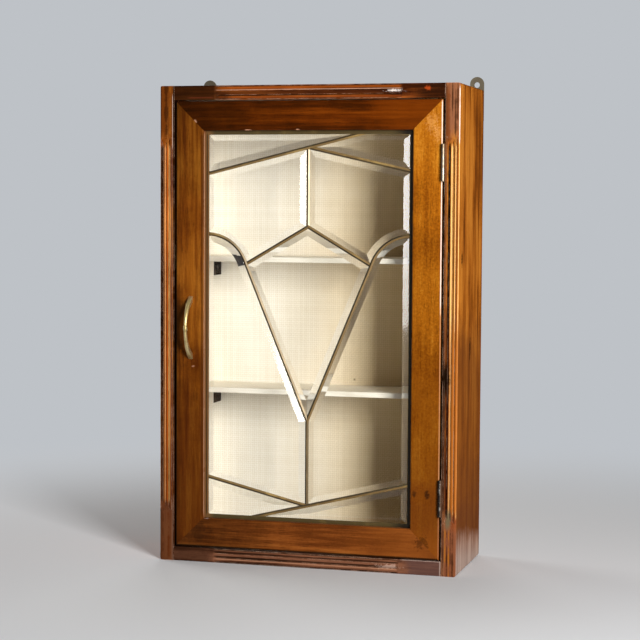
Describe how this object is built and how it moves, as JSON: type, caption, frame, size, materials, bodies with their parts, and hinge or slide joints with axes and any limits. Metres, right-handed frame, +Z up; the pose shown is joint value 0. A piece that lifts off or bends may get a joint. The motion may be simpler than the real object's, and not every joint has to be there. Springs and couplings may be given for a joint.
{
  "type": "glazed wall cabinet",
  "caption": "Wooden wall cabinet with reeded front edges, lined shelves and an inset door of clear bevelled panes in brass cames, hung on butt hinges.",
  "frame": {"origin": "middle of the cabinet's bottom face", "axes": "+X to the right as seen from the front, +Y towards the wall behind the cabinet, +Z up"},
  "size_m": [0.448, 0.2034, 0.7194],
  "materials": {
    "walnut_wood": "worn gloss varnish",
    "cleat_wood": "dark stain",
    "back_wood": "bare",
    "dowel_wood": "bare",
    "woven_lining": "woven",
    "painted_shelf": "satin cream paint",
    "came_brass": "aged satin",
    "hardware_brass": "worn polish",
    "screw_brass": "satin",
    "clear_glass": "polished",
    "steel": "zinc plated"
  },
  "bodies": {
    "carcass": {"side_board_left": "walnut_wood", "side_board_right": "walnut_wood", "top_board": "walnut_wood", "bottom_board": "walnut_wood", "door_stop": "walnut_wood", "shelf_cleats_upper": "cleat_wood", "shelf_cleats_lower": "cleat_wood", "back_panel": "back_wood", "carcass_dowels": "dowel_wood", "lining_back": "woven_lining", "lining_floor": "woven_lining", "lining_ceiling": "woven_lining", "lining_left": "woven_lining", "lining_right": "woven_lining", "shelf_upper": "painted_shelf", "shelf_lower": "painted_shelf", "hinge_leaf_frame_upper": "hardware_brass", "hinge_leaf_frame_lower": "hardware_brass", "hinge_pin_upper": "hardware_brass", "hinge_pin_lower": "hardware_brass", "hanging_plate_left": "hardware_brass", "hanging_plate_right": "hardware_brass", "catch_strike": "hardware_brass", "frame_screws": "screw_brass", "hanging_plate_screws": "screw_brass", "back_panel_nails": "steel", "cleat_screws": "steel"},
    "door": {"door_stile_left": "walnut_wood", "door_stile_right": "walnut_wood", "door_rail_top": "walnut_wood", "door_rail_bottom": "walnut_wood", "glazing_beads": "walnut_wood", "border_came": "came_brass", "came_top_long": "came_brass", "came_bottom_long": "came_brass", "came_v_left": "came_brass", "came_v_right": "came_brass", "came_top_right": "came_brass", "came_chevron_left": "came_brass", "came_chevron_right": "came_brass", "came_upper_upright": "came_brass", "came_bottom_left": "came_brass", "came_lower_upright": "came_brass", "pane_top_left": "clear_glass", "pane_top_right": "clear_glass", "pane_upper_left": "clear_glass", "pane_upper_right": "clear_glass", "pane_centre": "clear_glass", "pane_lower_left": "clear_glass", "pane_lower_right": "clear_glass", "pane_bottom_left": "clear_glass", "pane_bottom_right": "clear_glass", "hinge_leaf_door_upper": "hardware_brass", "hinge_leaf_door_lower": "hardware_brass", "hinge_screws_door": "screw_brass", "handle": "hardware_brass", "handle_screws": "steel", "catch_barrel": "hardware_brass", "catch_spring": "steel"},
    "catch_ball": {"catch_ball": "steel"}
  },
  "joints": [
    {"name": "door_hinge", "type": "hinge", "parent": "carcass", "child": "door", "pos_m": [0.2005, -0.0911, 0.35], "axis": [0, 0, 1], "range_deg": [0, 170]},
    {"name": "catch_ball_slide", "type": "slide", "parent": "door", "child": "catch_ball", "axis": [1, 0, 0], "range_m": [0, 0.0013], "stiffness_N_per_m": 400, "springref_m": -0.003}
  ]
}
